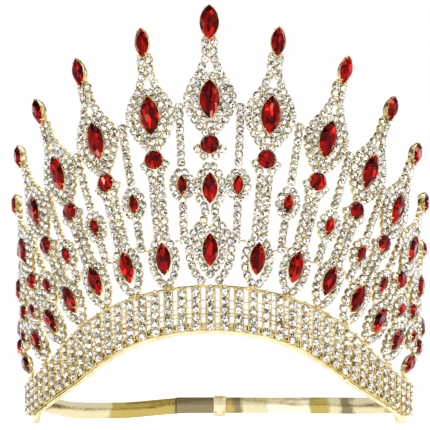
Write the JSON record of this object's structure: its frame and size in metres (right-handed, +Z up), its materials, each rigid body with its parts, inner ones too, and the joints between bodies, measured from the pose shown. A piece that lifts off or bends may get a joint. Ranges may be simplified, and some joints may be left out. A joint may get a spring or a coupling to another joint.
{
  "type": "crown",
  "caption": "Full-round pageant crown: fan of openwork rhinestone spires with red marquise stones on an arched stone band, closed behind by a plain lapped spring band.",
  "frame": {"origin": "middle of the crown's outline on the surface it stands on, under the middle of its bounding box", "axes": "+X to the viewer's right when facing the crown, -Y towards the viewer (the high front), +Z up"},
  "size_m": [0.1712, 0.1732, 0.155],
  "materials": {
    "cup_chain": "bright pale gilt, set with small clear stones",
    "gilt_strip": "polished pale gilt",
    "red_glass": "faceted, foil-backed, deep red",
    "clear_crystal": "faceted, foil-backed, clear"
  },
  "bodies": {
    "crown_front": {"base_band": "cup_chain", "arched_strip": "gilt_strip", "side_band_left": "gilt_strip", "side_band_right": "gilt_strip", "frame_center": "cup_chain", "frame_left_1": "cup_chain", "frame_left_2": "cup_chain", "frame_left_3": "cup_chain", "frame_left_4": "cup_chain", "frame_left_5": "cup_chain", "frame_left_6": "cup_chain", "frame_left_7": "cup_chain", "frame_right_1": "cup_chain", "frame_right_2": "cup_chain", "frame_right_3": "cup_chain", "frame_right_4": "cup_chain", "frame_right_5": "cup_chain", "frame_right_6": "cup_chain", "frame_right_7": "cup_chain", "top_stone_center": "red_glass", "leaf_stone_center": "red_glass", "mid_stone_center": "red_glass", "low_stone_center": "red_glass", "top_stone_left_1": "red_glass", "leaf_stone_left_1": "red_glass", "top_stone_left_2": "red_glass", "leaf_stone_left_2": "red_glass", "top_stone_left_3": "red_glass", "leaf_stone_left_3": "red_glass", "top_stone_left_4": "red_glass", "leaf_stone_left_4": "red_glass", "top_stone_left_5": "red_glass", "leaf_stone_left_5": "red_glass", "top_stone_left_6": "red_glass", "leaf_stone_left_6": "red_glass", "top_stone_left_7": "red_glass", "leaf_stone_left_7": "red_glass", "top_stone_right_1": "red_glass", "leaf_stone_right_1": "red_glass", "top_stone_right_2": "red_glass", "leaf_stone_right_2": "red_glass", "top_stone_right_3": "red_glass", "leaf_stone_right_3": "red_glass", "top_stone_right_4": "red_glass", "leaf_stone_right_4": "red_glass", "top_stone_right_5": "red_glass", "leaf_stone_right_5": "red_glass", "top_stone_right_6": "red_glass", "leaf_stone_right_6": "red_glass", "top_stone_right_7": "red_glass", "leaf_stone_right_7": "red_glass"},
    "left_spring": {"back_band_left": "gilt_strip", "band_keeper": "gilt_strip"},
    "right_spring": {"back_band_right": "gilt_strip"}
  },
  "joints": [
    {"name": "right_spring_flex", "type": "hinge", "parent": "crown_front", "child": "right_spring", "pos_m": [0.0764, 0.00817, 0.0075], "axis": [0, 0, -1], "range_deg": [-3, 5], "stiffness_Nm_per_rad": 0.25},
    {"name": "left_spring_flex", "type": "hinge", "parent": "crown_front", "child": "left_spring", "pos_m": [-0.0764, 0.00817, 0.0075], "axis": [0, 0, 1], "range_deg": [-3, 5], "stiffness_Nm_per_rad": 0.25}
  ],
  "couplings": [
    {"joint": "left_spring_flex", "follows": "right_spring_flex", "ratio": 1}
  ]
}
